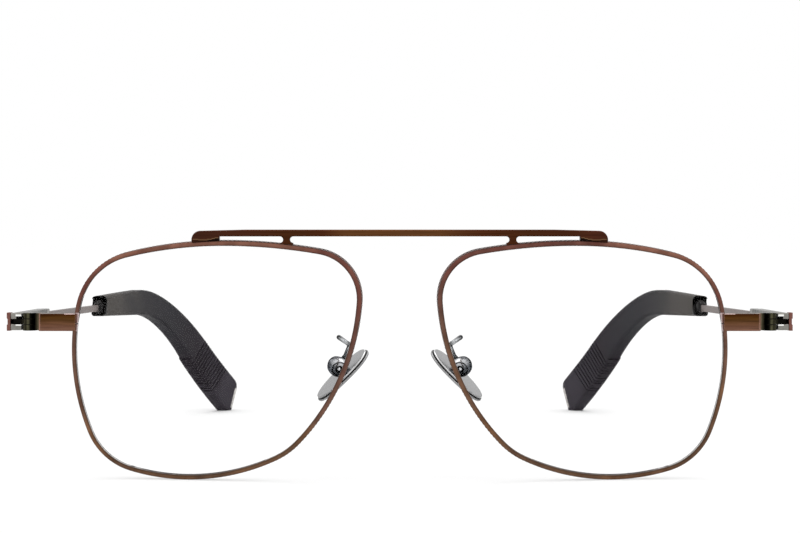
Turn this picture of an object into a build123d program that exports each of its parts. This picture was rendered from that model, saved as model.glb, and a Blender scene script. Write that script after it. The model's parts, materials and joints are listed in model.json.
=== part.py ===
from build123d import *
import math
import os

# Spectacle frame with a straight brow bar, open, standing on its rim bottoms and temple tips.
# Millimetres and degrees. X points to the wearer's left, Y back towards the wearer, Z up.
# The origin lies on the table, under the middle of the frame's width and depth.
# Each paired piece is drawn for the wearer's left side and mirrored for the right one.

# Rims and lenses
rim_width = 53.94
rim_wall = 0.95
rim_depth = 2.0
nasal_gap = 13.4
base_radius = 130.0
wrap_angle = 4.5
tilt_angle = 6.0
groove_depth = 0.4
groove_width = 0.9
lens_thickness = 1.7
lens_clearance = 0.03
front_reach = 12.0

# Outline of a rim, from its top clockwise as seen from the front: turn and radius as a share of
# the rim's width. The two shares left open are worked out so that the outline closes.
rim_arc_shares = [
    (14.2, 1.376),
    (63.4, 0.244),
    (32.2, 0.795),
    (55.0, 0.214),
    (40.4, None),
    (20.7, 0.266),
    (39.7, None),
    (83.6, 0.174),
    (10.8, 1.744),
]

# Brow bar
bar_half_length = 37.9
bar_height = 1.25
bar_depth = 1.8
bar_gap = 0.55
bar_taper_length = 9.8
bar_end_drop = 0.25
bar_end_radius = 1.65
bar_foot_length = 5.1
bar_edge = 0.3
post_place = 20.6
post_width = 2.4
post_hollow = 0.58

# End pieces and the locks that close the rims
end_height = 3.2
end_plate = 0.9
end_length = 6.8
end_bevel = 0.55
end_edge = 0.2
lock_gap = 0.2
lock_length = 2.6
lock_depth = 1.7
lock_height = 2.9
lock_screw_radius = 0.4
lock_head_radius = 0.65
lock_head_height = 0.4

# Hinges
hinge_height = 29.25
hinge_offset = 2.3
hinge_set_back = 0.8
eye_radius = 1.3
eye_height = 3.3
leaf_length = 3.6
leaf_thickness = 0.9
tongue_thickness = 0.9
tongue_neck = 1.3
tongue_tail = 6.0
tongue_width = 1.5
washer_thickness = 0.12
hinge_play = 0.04
screw_radius = 0.6
screw_clearance = 0.05
screw_head_radius = 0.95
screw_head_height = 0.35
screw_slot_width = 0.25
screw_slot_depth = 0.2

# Temples
temple_heading = 1.45
block_gap = 0.1
block_width = 2.1
block_height = 3.2
block_front = 0.6
block_length = 21.5
ferrule_length = 7.1
ferrule_step = 0.12
ferrule_radius = 0.8
cover_thickness = 0.7
cover_height = 3.4
cover_waist = 0.35
cover_front_length = 1.6
cover_length = 21.0
cover_groove_height = 1.1
cover_groove_depth = 0.15
wire_width = 1.0
wire_height = 1.4
wire_rise = 0.1
wire_tail = 12.0
temple_curve_radius = 90.0
temple_curve_turn = 3.96
temple_run_radius = 539.0
temple_run_turn = 6.62
temple_grip_radius = 109.0
temple_grip_turn = 20.3
temple_end_run = 24.0

# Sleeves over the ends of the temples
sleeve_start = 63.6
sleeve_thickness = 3.1
sleeve_height = 4.4
sleeve_centre_rise = 0.5
sleeve_crown = 1.2
sleeve_sag = 1.3
sleeve_edge = 0.7
ear_bend = 109.3
ear_angle = 44.6
ear_outer_radius = 51.0
ear_inner_radius = 38.0
ear_inner_lead = 4.1
grip_swell = 0.6
sleeve_step_place = 16.9
tip_corner_radius = 2.4
tip_end_height = 6.8
tip_end_lean = 2.4
end_steepness = 1.5
foot_length = 1.8
collar_thickness = 1.4
collar_lip = 0.4
collar_recess = 0.5
tip_plate_thickness = 0.4
tip_plate_height = 5.2
tip_plate_rise = 0.35
tip_plate_inset = 0.3

# Nose pads
pad_length = 13.0
pad_width = 7.0
pad_thickness = 1.1
pad_edge = 0.45
pad_lean = 45.5
pad_splay = 10.0
pad_box_place = 12.0
pad_box_height = 20.85
pad_box_depth = 8.0
pad_distance = 2.1
pad_slip = 0.2
box_radius = 1.3
box_length = 2.0
box_recess_radius = 0.95
box_recess = 0.3
stem_thickness = 0.6
stem_play = 0.05
stem_eye_radius = 0.95
stem_width = 1.1
stem_slot_clearance = 0.1
pad_screw_radius = 0.4
pad_screw_head = 0.7
arm_radius = 0.42
arm_bend_radius = 0.7
arm_root_rise = 4.1
arm_loop_inset = 0.7
arm_loop_rise = 5.7
arm_loop_reach = 2.6
arm_loop_width = 1.4
arm_knee_inset = 2.6
arm_knee_rise = 4.0
arm_leg_inset = 1.8
arm_leg_rise = 2.0

# One overrun serves every cut
overrun = 2.0


def left_of(angle):
    """Unit vector to the left of a heading, which is measured from the first axis."""
    return Vector(0, 1).rotate(Axis.Z, angle)


def ahead_of(angle):
    """Unit vector along a heading."""
    return Vector(1, 0).rotate(Axis.Z, angle)


def walk(start, heading, steps, offset=0):
    """Edges along a path, moved to its left by offset.

    A step is (turn, radius), which turns to the right, or (0, length), which runs straight.
    """
    spot = Vector(start)
    edges = []
    for turn, size in steps:
        if turn == 0:
            goal = spot + ahead_of(heading) * size
            side = left_of(heading) * offset
            edges.append(Line(spot + side, goal + side))
        else:
            centre = spot - left_of(heading) * size
            goal = centre + left_of(heading - turn) * size
            first, middle, last = [
                centre + left_of(heading - turn * share) * (size + offset) for share in (0, 0.5, 1)
            ]
            edges.append(ThreePointArc(first, middle, last))
        spot = goal
        heading -= turn
    return edges


def strip(start, heading, steps, low, high):
    """Face between two parallels of a path, at the offsets low and high."""
    upper = walk(start, heading, steps, high)
    lower = walk(start, heading, steps, low)
    first_end = Line(lower[0] @ 0, upper[0] @ 0)
    last_end = Line(upper[-1] @ 1, lower[-1] @ 1)
    return make_face(upper + lower + [first_end, last_end])


def block(low, high):
    """Box between two corners."""
    size = Vector(high) - Vector(low)
    middle = (Vector(high) + Vector(low)) / 2
    return Pos(middle) * Box(size.X, size.Y, size.Z)


def pin(spot, radius, length, axis=(0, 0, 1)):
    """Cylinder centred on a spot, along an axis."""
    return Plane(origin=spot, z_dir=axis) * Cylinder(radius, length)


def largest(shape):
    """The largest solid of a shape, without slivers that a cut may leave."""
    return max(shape.solids(), key=lambda solid: solid.volume)


# Outline of a rim: the radii left open close the loop
def closed_steps():
    heading = 0
    steps = []
    unit_moves = []
    for turn, share in rim_arc_shares:
        unit_moves.append(left_of(heading - turn) - left_of(heading))
        steps.append((turn, None if share is None else share * rim_width))
        heading -= turn
    open_places = [place for place, step in enumerate(steps) if step[1] is None]
    gap = Vector(0, 0)
    for move, (turn, radius) in zip(unit_moves, steps):
        if radius is not None:
            gap -= move * radius
    first, second = [unit_moves[place] for place in open_places]
    area = first.X * second.Y - first.Y * second.X
    answers = [
        (gap.X * second.Y - gap.Y * second.X) / area,
        (first.X * gap.Y - first.Y * gap.X) / area,
    ]
    for place, radius in zip(open_places, answers):
        steps[place] = (steps[place][0], radius)
    return steps


rim_steps = closed_steps()
rim_box = make_face(walk((0, 0), 0, rim_steps)).bounding_box()


def rim_prism(inset):
    """Prism over the rim's outline, drawn in by inset, about the middle of the outline's box."""
    outline = make_face(walk((0, 0), 0, rim_steps, -inset))
    centred = Pos(-rim_box.center().X, -rim_box.center().Y) * outline
    return extrude(Plane.XZ * centred, front_reach / 2, both=True)


def lens_shell(thickness):
    """Part of a hollow ball: the curved layer in which rim and lens lie."""
    outer = Sphere(base_radius + thickness / 2)
    inner = Sphere(base_radius - thickness / 2)
    return Pos(0, base_radius, 0) * (outer - inner)


# Rim and lens before they are turned to the face
tongue_inset = rim_wall - groove_depth
rim_disc = rim_prism(0) & lens_shell(rim_depth)
flat_rim = rim_disc - rim_prism(rim_wall)
flat_rim -= rim_prism(tongue_inset) & lens_shell(groove_width)
flat_lens = rim_prism(rim_wall + lens_clearance) & lens_shell(lens_thickness)
lens_tongue = rim_prism(tongue_inset + lens_clearance)
flat_lens += lens_tongue & lens_shell(groove_width - 2 * lens_clearance)

turn_to_face = Rot(0, 0, wrap_angle) * Rot(tilt_angle, 0, 0)
turned_box = (turn_to_face * flat_rim).bounding_box()
front_place = Pos(nasal_gap / 2 - turned_box.min.X, 0, -turned_box.min.Z) * turn_to_face
rim_outer_side = nasal_gap / 2 + turned_box.size.X
rim_middle = nasal_gap / 2 + turned_box.size.X / 2
rim_top = turned_box.size.Z
rim_room = front_place * rim_disc


def front_point(across, up):
    """Point of the rim's curved middle layer, given in the rim's own flat directions."""
    sag = base_radius - math.sqrt(base_radius**2 - across**2 - up**2)
    return (front_place * Pos(across, sag, up)).position


def nasal_place(up):
    """Where the rim's wall runs on its nasal side at a height, in the rim's own flat directions."""
    wall_line = make_face(walk((0, 0), 0, rim_steps, -rim_wall / 2))
    level = Pos(rim_box.center().X, up + rim_box.center().Y) * Rectangle(rim_width, groove_depth)
    return (wall_line & level).bounding_box().min.X - rim_box.center().X


# End piece: a block over the closed rim, with a bevelled outer end
rim_side = front_point(rim_box.size.X / 2 - rim_wall / 2, hinge_height - rim_top / 2)
end_start = rim_outer_side - rim_wall
end_stop = end_start + end_length
end_front = rim_side.Y - rim_depth / 2 - end_plate
end_back = rim_side.Y + rim_depth / 2
end_low = hinge_height - end_height / 2
end_high = hinge_height + end_height / 2
end_block = block((end_start, end_front, end_low), (end_stop, end_back, end_high))
front_uprights = end_block.edges().filter_by(Axis.Z).group_by(Axis.Y)[0]
end_block = chamfer(front_uprights.sort_by(Axis.X)[-1], end_bevel)
end_block = fillet(end_block.faces().sort_by(Axis.Y)[0].edges().filter_by(Axis.X), end_edge)
end_piece = largest(end_block - rim_room)

# Lock: two halves behind the end piece, soldered to the ends of the split rim
lock_low = hinge_height - lock_height / 2
lock_high = hinge_height + lock_height / 2
lock_whole = block(
    (end_start, rim_side.Y, lock_low),
    (end_start + lock_length, end_back + lock_depth, lock_high),
)
lock_whole = lock_whole - rim_room - end_block
lock_slit = block(
    (end_start - overrun, rim_side.Y - rim_depth, hinge_height - lock_gap / 2),
    (end_stop, end_back + lock_depth + overrun, hinge_height + lock_gap / 2),
)
lock_x = end_start + lock_length / 2
lock_y = end_back + lock_depth / 2
lock_screw = pin((lock_x, lock_y, hinge_height), lock_screw_radius, lock_height)
lock_screw += pin(
    (lock_x, lock_y, lock_high - lock_head_height / 2), lock_head_radius, lock_head_height
)
lock_halves = lock_whole - lock_slit - lock_screw
rim = front_place * flat_rim - lock_slit
lens = front_place * flat_lens

# Brow bar: straight, with end feet and posts that stand on the rims
bar_taper_start = bar_half_length - bar_taper_length
bar_low = rim_top + bar_gap
bar_high = bar_low + bar_height
bar_y = front_point(post_place - rim_middle, rim_top / 2 - rim_wall).Y
foot_floor = rim_top - overrun
foot_start = bar_half_length - bar_foot_length
bar_points = [
    (0, bar_high),
    (bar_taper_start, bar_high),
    (bar_half_length, bar_high - bar_end_drop),
    (bar_half_length, foot_floor),
    (foot_start, foot_floor),
    (foot_start, bar_low),
    (0, bar_low),
]
half_bar = make_face(Polyline(*bar_points, close=True))
bar_corner = half_bar.vertices().sort_by_distance((bar_half_length, bar_high - bar_end_drop))[0]
half_bar = fillet(bar_corner, bar_end_radius)
post = make_face(
    Polyline(
        (post_place - post_width / 2, bar_low),
        (post_place + post_width / 2, bar_low),
        (post_place + post_width / 2, foot_floor),
        (post_place - post_width / 2, foot_floor),
        close=True,
    )
)
for side in (-1, 1):
    hollow_x = post_place + side * post_width / 2
    post -= Pos(hollow_x, bar_low - post_hollow) * Circle(post_hollow)
half_bar += post
bar_face = half_bar + mirror(half_bar, about=Plane.YZ)
bar_plane = Plane(origin=(0, bar_y, 0), x_dir=(1, 0, 0), z_dir=(0, -1, 0))
brow_bar = extrude(bar_plane * bar_face, bar_depth / 2, both=True)
bar_faces = brow_bar.faces().filter_by(Axis.Y).sort_by(Axis.Y)
brow_bar = fillet(bar_faces[0].outer_wire().edges() + bar_faces[-1].outer_wire().edges(), bar_edge)
rim_fill = front_place * (rim_prism(0))
brow_bar = largest(brow_bar - rim_fill - mirror(rim_fill, about=Plane.YZ))

# Hinge: two dark eyes on the front take the temple's single eye between them
axis_x = end_stop + hinge_offset
axis_y = end_back + hinge_set_back
hinge_spot = Vector(axis_x, axis_y, hinge_height)
slot_height = tongue_thickness + 2 * (washer_thickness + hinge_play)
eye_top = hinge_height + eye_height / 2
clevis = pin(hinge_spot, eye_radius, eye_height)
clevis += block(
    (axis_x - hinge_offset - leaf_length, end_back, hinge_height - end_height / 2),
    (axis_x, end_back + leaf_thickness, hinge_height + end_height / 2),
)
slot_radius = eye_radius + block_gap
clevis -= pin(hinge_spot, slot_radius, slot_height)
hinge_screw = pin(hinge_spot, screw_radius, eye_height)
head_spot = (axis_x, axis_y, eye_top - screw_head_height / 2)
hinge_screw += pin(head_spot, screw_head_radius, screw_head_height)
clevis -= hinge_screw
slot_spot = Vector(axis_x, axis_y, eye_top)
hinge_screw -= Pos(slot_spot) * Box(2 * eye_radius, screw_slot_width, 2 * screw_slot_depth)
washers = []
for side in (-1, 1):
    washer_z = hinge_height + side * (tongue_thickness + washer_thickness + hinge_play) / 2
    ring = pin((axis_x, axis_y, washer_z), eye_radius - block_gap, washer_thickness)
    bore = pin((axis_x, axis_y, washer_z), screw_radius + screw_clearance, eye_height)
    washers.append(ring - bore)
hinge_washers = Compound(children=washers)

# The temple's plan: a straight block, a gentle bend, a long run and the inward curve of the grip
block_x = axis_x + eye_radius + block_gap
temple_start = (axis_y - block_front, block_x + block_width / 2)
temple_steps = [
    (0, block_length + ferrule_length),
    (temple_curve_turn, temple_curve_radius),
    (temple_run_turn, temple_run_radius),
    (temple_grip_turn, temple_grip_radius),
    (0, temple_end_run),
]
plan_plane = Plane(origin=(0, 0, 0), x_dir=(0, 1, 0), z_dir=(0, 0, -1))
side_plane = Plane(origin=(0, 0, 0), x_dir=(0, 1, 0), z_dir=(1, 0, 0))
temple_front = axis_y - block_front


def along_temple(side_face, inner, outer):
    """A piece that follows the temple: its side view, cut from a standing strip of the plan."""
    plan = strip(temple_start, -temple_heading, temple_steps, inner, outer)
    standing = extrude(plan_plane * plan, 2 * rim_top, both=True)
    side = extrude(side_plane * side_face, axis_x + rim_width)
    return standing & side


def side_box(start, stop, low, high):
    """Rectangle of the side view, from start to stop along Y and from low to high."""
    return Pos((start + stop) / 2, (low + high) / 2) * Rectangle(stop - start, high - low)


# Sleeve: side view with the ear bend, the step under the grip and the cut end
drop = Vector(1, 0).rotate(Axis.Z, -ear_angle)
across_drop = Vector(0, -1).rotate(Axis.Z, -ear_angle)
sleeve_low = hinge_height - sleeve_height / 2 + sleeve_centre_rise
sleeve_high = sleeve_low + sleeve_height
bend_start = temple_front + sleeve_start
bend_top = Vector(temple_front + ear_bend, sleeve_high + sleeve_crown)
fall = (bend_top.Y - tip_end_height) / math.sin(math.radians(ear_angle))
tip_corner = bend_top + drop * fall
tip_foot = Vector(tip_corner.X - tip_end_lean, 0)
bend_bottom = Vector(bend_top.X - ear_inner_lead, sleeve_low - sleeve_sag)
toe = Vector(tip_foot.X - foot_length, 0)


def above_middle(edge):
    """Whether an edge of the sleeve lies above the line that the sleeve follows."""
    spot = edge.center()
    fallen = max(0, spot.Y - bend_bottom.X) * math.tan(math.radians(ear_angle))
    return spot.Z > hinge_height - fallen


def runs_along(edge, shortest):
    """Whether an edge runs along the sleeve, and not across or down its end."""
    size = edge.bounding_box().size
    return size.Y > shortest and size.Z < size.Y * end_steepness


def rounded_sleeve(swell):
    """The sleeve with rounded long edges; swell moves its underside out, but not at the toe."""
    low_corner = bend_bottom + across_drop * swell
    points = [
        Vector(bend_start, sleeve_high),
        bend_top,
        tip_corner,
        tip_foot,
        toe,
        low_corner,
        Vector(bend_start, sleeve_low - swell),
    ]
    face = make_face(Polyline(*points, close=True))
    for corner, radius in (
        (bend_top, ear_outer_radius),
        (low_corner, ear_inner_radius),
        (tip_corner, tip_corner_radius),
    ):
        face = fillet(face.vertices().sort_by_distance(corner)[0], radius)
    whole = along_temple(face, -sleeve_thickness / 2, sleeve_thickness / 2)
    shortest_above = sleeve_edge
    shortest_below = 2 * foot_length
    long_edges = [
        edge
        for edge in whole.edges()
        if runs_along(edge, shortest_above if above_middle(edge) else shortest_below)
    ]
    return fillet(long_edges, sleeve_edge)


# The grip stands out a little underneath, from a step on
step_top = bend_bottom + drop * sleeve_step_place
step_plane = Plane(origin=(0, step_top.X, step_top.Y), z_dir=(0, drop.X, drop.Y))
sleeve_whole = split(rounded_sleeve(0), bisect_by=step_plane, keep=Keep.BOTTOM)
sleeve_whole += split(rounded_sleeve(grip_swell), bisect_by=step_plane, keep=Keep.TOP)

# Temple block, its rear ferrule and the brown cover on its outer side
block_low = hinge_height - block_height / 2
block_high = hinge_height + block_height / 2
block_stop = temple_front + block_length
block_side = side_box(temple_front, block_stop, block_low, block_high)
temple_block = along_temple(block_side, -block_width / 2, block_width / 2)
tongue_low = hinge_height - tongue_thickness / 2
tongue_high = hinge_height + tongue_thickness / 2
tail_stop = axis_y + tongue_tail
tongue_side = side_box(temple_front, tail_stop, tongue_low, tongue_high)
temple_block -= along_temple(tongue_side, -block_width, block_width)
ferrule_half = block_width / 2 - ferrule_step
wire_front = block_stop + ferrule_length
ferrule_side = side_box(block_stop, wire_front, block_low + ferrule_step, block_high - ferrule_step)
temple_ferrule = along_temple(ferrule_side, -ferrule_half, ferrule_half)
rear_corners = temple_ferrule.edges().filter_by(Axis.Z).sort_by(Axis.Y)[-2:]
temple_ferrule = fillet(rear_corners, ferrule_radius)

tongue = pin(hinge_spot, eye_radius, tongue_thickness)
tongue += block(
    (axis_x, axis_y - block_front, tongue_low),
    (block_x + tongue_width, axis_y + tongue_neck, tongue_high),
)
tongue += along_temple(tongue_side, -block_width / 2, tongue_width - block_width / 2)
tongue -= pin(hinge_spot, screw_radius + screw_clearance, eye_height)

cover_half = cover_height / 2
cover_waist_half = cover_half - cover_waist
cover_stop = temple_front + cover_length
cover_points = [
    Vector(temple_front, hinge_height + cover_half),
    Vector(temple_front + cover_front_length, hinge_height + cover_half),
    Vector(temple_front + 2 * cover_front_length, hinge_height + cover_waist_half),
    Vector(cover_stop, hinge_height + cover_waist_half),
    Vector(cover_stop, hinge_height - cover_waist_half),
    Vector(temple_front + 2 * cover_front_length, hinge_height - cover_waist_half),
    Vector(temple_front + cover_front_length, hinge_height - cover_half),
    Vector(temple_front, hinge_height - cover_half),
]
cover_face = make_face(Polyline(*cover_points, close=True))
cover_outside = block_width / 2 + cover_thickness
temple_cover = along_temple(cover_face, block_width / 2, cover_outside)
groove_low = hinge_height - cover_groove_height / 2
groove_high = hinge_height + cover_groove_height / 2
groove_side = side_box(temple_front - overrun, cover_stop + overrun, groove_low, groove_high)
temple_cover -= along_temple(groove_side, cover_outside - cover_groove_depth, cover_outside + overrun)

# Wire: runs from the ferrule into the sleeve, and bends with it
wire_middle = hinge_height + wire_rise
wire_start = Vector(wire_front, wire_middle)
wire_knee = Vector(bend_top.X - ear_inner_lead, wire_middle)
knee_lead = ear_inner_radius * math.tan(math.radians(ear_angle / 2))
wire_run = sleeve_step_place + wire_tail - knee_lead
wire_steps = [
    (0, wire_knee.X - knee_lead - wire_front),
    (ear_angle, ear_inner_radius),
    (0, wire_run),
]
wire_side = strip(wire_start, 0, wire_steps, -wire_height / 2, wire_height / 2)
temple_wire = along_temple(wire_side, -wire_width / 2, wire_width / 2)

# Collar at the mouth of the sleeve, with a raised lip round the wire
collar_stop = bend_start + collar_thickness
collar_side = side_box(bend_start, collar_stop, 0, rim_top)
sleeve_cutter = along_temple(collar_side, -sleeve_thickness, sleeve_thickness)
recess_side = side_box(
    bend_start - overrun, bend_start + collar_recess, sleeve_low + collar_lip, sleeve_high - collar_lip
)
recess_half = sleeve_thickness / 2 - collar_lip
sleeve_collar = (sleeve_whole & sleeve_cutter) - along_temple(recess_side, -recess_half, recess_half)
temple_sleeve = sleeve_whole - sleeve_cutter

# Tip plate, let into the cut end of the sleeve
end_direction = (tip_corner - tip_foot).normalized()
plate_low = tip_foot + end_direction * tip_plate_rise
plate_high = plate_low + end_direction * tip_plate_height
inward = Vector(-end_direction.Y, end_direction.X) * tip_plate_thickness
plate_points = [plate_low, plate_high, plate_high + inward, plate_low + inward]
plate_face = make_face(Polyline(*plate_points, close=True))
plate_half = sleeve_thickness / 2 - tip_plate_inset
tip_plate = along_temple(plate_face, -plate_half, plate_half) & sleeve_whole

# The sleeve makes room for the wire and the plate
temple_sleeve = temple_sleeve - temple_wire - tip_plate
sleeve_collar = sleeve_collar - temple_wire

# Nose pad: an oval plate that turns on the screw of its box
lean = math.radians(pad_lean)
splay = math.radians(pad_splay)
box_spot = Vector(pad_box_place, pad_box_depth, pad_box_height)
pad_long = Vector(math.sin(lean), 0, -math.cos(lean))
pad_down = Vector(-math.cos(lean), 0, -math.sin(lean))
pad_normal = pad_down * math.cos(splay) + Vector(0, 1, 0) * math.sin(splay)
pad_centre = box_spot + pad_down * pad_distance + pad_long * pad_slip
pad_plane = Plane(origin=pad_centre, x_dir=pad_long, z_dir=pad_normal)
pad_blank = extrude(Ellipse(pad_length / 2, pad_width / 2), pad_thickness / 2, both=True)
nose_pad = pad_plane * fillet(pad_blank.edges(), pad_edge)

# Stem: a flat tab from the pad into the slot of the box
box_plane = Plane(origin=box_spot, x_dir=pad_long, z_dir=(0, -1, 0))
down_sign = -1 if box_plane.y_dir.dot(pad_down) < 0 else 1
stem_face = Circle(stem_eye_radius)
stem_face += Pos(0, down_sign * pad_distance / 2) * Rectangle(stem_width, pad_distance)
pad_stem = extrude(box_plane * stem_face, stem_thickness / 2, both=True)
pad_stem = largest(pad_stem - nose_pad)
pad_stem -= pin(box_spot, pad_screw_radius + stem_play, box_length, (0, 1, 0))

# Pad arm: a bent wire from the back of the rim to the round box
slot_wide = stem_thickness + 2 * stem_play
slot_rise = stem_eye_radius + stem_slot_clearance
slot_face = Pos(0, down_sign * (box_radius - slot_rise) / 2)
slot_face *= Rectangle(2 * box_radius, box_radius + slot_rise)
pad_slot = extrude(box_plane * slot_face, slot_wide / 2, both=True)
box_front_y = pad_box_depth - box_length / 2
pad_box = pin(box_spot, box_radius, box_length, (0, 1, 0))
pad_box -= pin((box_spot.X, box_front_y, box_spot.Z), box_recess_radius, 2 * box_recess, (0, 1, 0))
root_up = pad_box_height + arm_root_rise - rim_top / 2
arm_root = front_point(nasal_place(root_up), root_up)
loop_x = pad_box_place - arm_loop_inset
loop_y = arm_root.Y + arm_loop_reach
loop_z = pad_box_height + arm_loop_rise
arm_points = [
    arm_root,
    (loop_x, loop_y, loop_z),
    (loop_x, loop_y + arm_loop_width, loop_z),
    (pad_box_place - arm_knee_inset, pad_box_depth, pad_box_height + arm_knee_rise),
    (pad_box_place - arm_leg_inset, pad_box_depth, pad_box_height + arm_leg_rise),
    box_spot,
]
arm_path = FilletPolyline(*arm_points, radius=arm_bend_radius)
arm_section = Plane(origin=arm_path @ 0, z_dir=arm_path % 0) * Circle(arm_radius)
arm_wire = sweep(arm_section, path=arm_path)
pad_arm = arm_wire + pad_box - pad_slot - rim_room
pad_arm = largest(pad_arm)
screw_start = box_front_y + box_recess
pad_screw = pin(box_spot, pad_screw_radius, box_length - 2 * box_recess, (0, 1, 0))
pad_arm -= pin(box_spot, pad_screw_radius, box_length, (0, 1, 0))
head_middle = (box_spot.X, screw_start - box_recess / 2, box_spot.Z)
pad_screw += pin(head_middle, pad_screw_head, box_recess, (0, 1, 0))

left_pieces = {
    "rim": rim,
    "lens": lens,
    "end_piece": end_piece,
    "rim_lock": lock_halves,
    "rim_lock_screw": lock_screw,
    "hinge_clevis": clevis,
    "hinge_screw": hinge_screw,
    "hinge_washers": hinge_washers,
    "hinge_tongue": tongue,
    "temple_block": temple_block,
    "temple_ferrule": temple_ferrule,
    "temple_cover": temple_cover,
    "temple_wire": temple_wire,
    "sleeve_collar": sleeve_collar,
    "temple_sleeve": temple_sleeve,
    "tip_plate": tip_plate,
    "pad_arm": pad_arm,
    "pad_screw": pad_screw,
    "pad_stem": pad_stem,
    "nose_pad": nose_pad,
}

pieces = {"brow_bar": brow_bar}
for name, shape in left_pieces.items():
    pieces["left_" + name] = shape
    pieces["right_" + name] = mirror(shape, about=Plane.YZ)

# The origin goes under the middle of the depth, which the front and the tips set
front_most = min(shape.bounding_box().min.Y for shape in pieces.values())
rear_most = max(shape.bounding_box().max.Y for shape in pieces.values())
to_origin = Pos(0, -(front_most + rear_most) / 2, 0)
joint_spots = {
    "hinge": to_origin * Pos(hinge_spot),
    "pad": to_origin * Pos(box_spot),
}

os.makedirs("parts", exist_ok=True)
for name, shape in pieces.items():
    export_step(Compound(children=(to_origin * shape).solids()), f"parts/{name}.step")
    print(name, "exported")
for name, place in joint_spots.items():
    print(name, "axis at", place.position)
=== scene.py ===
# %% [markdown]
# # Metal glasses with a straight brow bar
# A thin metal frame stands open on a white table. Its CAD model gives every piece its exact
# place. This lesson dresses that model in Blender: the small forms that catch the light, the
# finishes, and a plain studio. Sizes below are in millimetres, and `mm` turns them into
# metres, which is what Blender counts in.

# %% Load the frame
import json
import math

import bmesh
import bpy
import numpy as np
from mathutils import Matrix, Vector


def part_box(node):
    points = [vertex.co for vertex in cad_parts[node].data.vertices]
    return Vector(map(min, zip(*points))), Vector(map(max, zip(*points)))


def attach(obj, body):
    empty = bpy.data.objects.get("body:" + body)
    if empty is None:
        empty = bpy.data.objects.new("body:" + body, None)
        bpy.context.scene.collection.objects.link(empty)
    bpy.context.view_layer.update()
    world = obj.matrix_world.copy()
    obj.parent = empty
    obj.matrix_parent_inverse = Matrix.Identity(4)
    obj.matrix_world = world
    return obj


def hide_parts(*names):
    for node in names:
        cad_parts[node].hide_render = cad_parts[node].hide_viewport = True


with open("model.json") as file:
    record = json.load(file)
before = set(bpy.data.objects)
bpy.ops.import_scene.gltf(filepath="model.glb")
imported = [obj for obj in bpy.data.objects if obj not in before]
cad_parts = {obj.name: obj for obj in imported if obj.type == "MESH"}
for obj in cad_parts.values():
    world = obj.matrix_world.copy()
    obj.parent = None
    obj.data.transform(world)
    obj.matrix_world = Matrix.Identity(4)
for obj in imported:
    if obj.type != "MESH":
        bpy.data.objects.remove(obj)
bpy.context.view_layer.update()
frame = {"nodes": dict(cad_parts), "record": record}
mm = 0.001

# %% [markdown]
# ## The camera
# The glasses are seen from straight ahead, a little above the table, from about a forearm's
# length. A long lens keeps the temples from shrinking too fast behind the rims. The tilt is
# small, so upright lines stay upright.

# %% Camera
camera_data = bpy.data.cameras.new("camera")
camera_data.sensor_width = 36.0
camera_data.lens = 80.3
camera = bpy.data.objects.new("camera", camera_data)
camera.location = Vector((0.05, -395.6, 44.6)) * mm
camera.rotation_euler = (math.radians(90 - 0.88), 0, 0)
bpy.context.scene.collection.objects.link(camera)
bpy.context.scene.camera = camera
print("camera at", tuple(round(c, 4) for c in camera.location))

# %% [markdown]
# ## Small helpers for node trees
# A finish, or a rule that makes a shape, is a small graph of nodes. These helpers add a node,
# set its inputs by name and join sockets, so that each graph below reads as a short list.
# Colours are written as the bytes an eye would pick, and turned to the linear values that a
# renderer adds up.

# %% Node helpers
def paint(red, green, blue):
    """Linear colour from the bytes of a display colour."""
    parts = [byte / 255 for byte in (red, green, blue)]
    return [p / 12.92 if p <= 0.04045 else ((p + 0.055) / 1.055) ** 2.4 for p in parts] + [1]


def feed(tree, value, socket):
    """Joins a socket to another one, or sets it where the value is plain."""
    if isinstance(value, bpy.types.NodeSocket):
        tree.links.new(socket, value)
    else:
        socket.default_value = value


def add(tree, kind, choices=None, **inputs):
    """A node with its choices set, and its inputs fed by name, underscores for spaces."""
    node = tree.nodes.new(kind)
    for choice, value in (choices or {}).items():
        setattr(node, choice, value)
    for name, value in inputs.items():
        feed(tree, value, node.inputs[name.replace("_", " ")])
    return node


def work_out(tree, operation, *values):
    """The result of one sum on numbers or sockets."""
    node = tree.nodes.new("ShaderNodeMath")
    node.operation = operation
    for value, socket in zip(values, node.inputs):
        feed(tree, value, socket)
    return node.outputs[0]


print("white is", paint(255, 255, 255))

# %% [markdown]
# A material starts from an empty tree with one shader. Its colours come from blends, ramps and
# noise. Noise values crowd round a half, so `spread` takes the range where most of them lie.

# %% Helpers for materials
noise_low, noise_high = 0.3, 0.7


def new_material(name):
    """An empty material: itself, its tree and its Principled shader."""
    material = bpy.data.materials.new(name)
    material.use_nodes = True
    return material, material.node_tree, material.node_tree.nodes["Principled BSDF"]


def blend(tree, share, first, second):
    """A colour between two colours, which are sockets 6 and 7 of the node."""
    node = tree.nodes.new("ShaderNodeMix")
    node.data_type = "RGBA"
    feed(tree, share, node.inputs["Factor"])
    feed(tree, first, node.inputs[6])
    feed(tree, second, node.inputs[7])
    return node.outputs[2]


def ramp(tree, share, stops):
    """A colour picked from (place, colour) pairs."""
    node = add(tree, "ShaderNodeValToRGB", Fac=share)
    elements = node.color_ramp.elements
    for place, colour in stops[1:-1]:
        elements.new(place)
    for element, (place, colour) in zip(elements, stops):
        element.position = place
        element.color = paint(*colour)
    return node.outputs["Color"]


def noise(tree, coords, scale, detail=2.0):
    """Noise over the coordinates, with a scale for each axis, in waves per metre."""
    spots = add(tree, "ShaderNodeMapping", Vector=coords, Scale=scale).outputs["Vector"]
    node = add(tree, "ShaderNodeTexNoise", Vector=spots, Scale=1.0, Detail=detail)
    return node.outputs["Fac"]


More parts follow.
